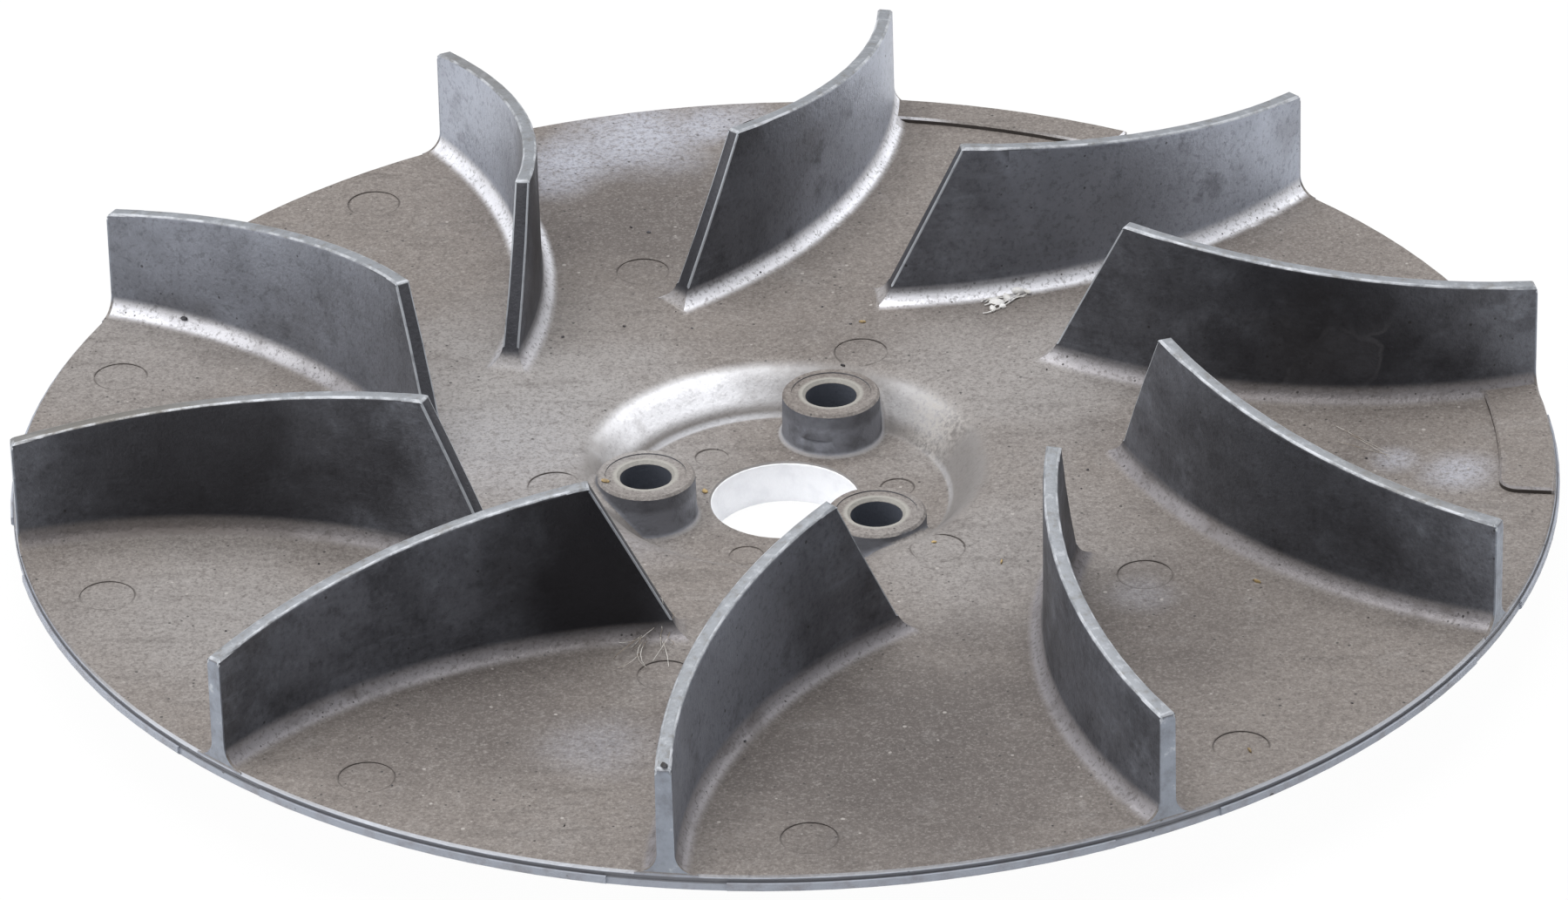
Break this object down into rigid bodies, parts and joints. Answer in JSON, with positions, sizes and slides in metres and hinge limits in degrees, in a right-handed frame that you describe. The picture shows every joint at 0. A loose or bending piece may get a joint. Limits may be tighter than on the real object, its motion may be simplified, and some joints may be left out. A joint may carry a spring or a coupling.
{
  "type": "centrifugal fan impeller",
  "caption": "Open centrifugal fan impeller cast in one piece: backplate with a dished hub, centre bore, screw bosses and curved blades.",
  "frame": {"origin": "centre of the bore at the hub's flat back face", "axes": "+Z along the bore axis, from the back seat towards the blades and the inlet; X and Y lie in the backplate"},
  "size_m": [0.25, 0.25, 0.0426],
  "materials": {
    "cast_aluminium": "as-cast, dusty, dull grey"
  },
  "bodies": {
    "root": {"impeller": "cast_aluminium"}
  },
  "joints": []
}
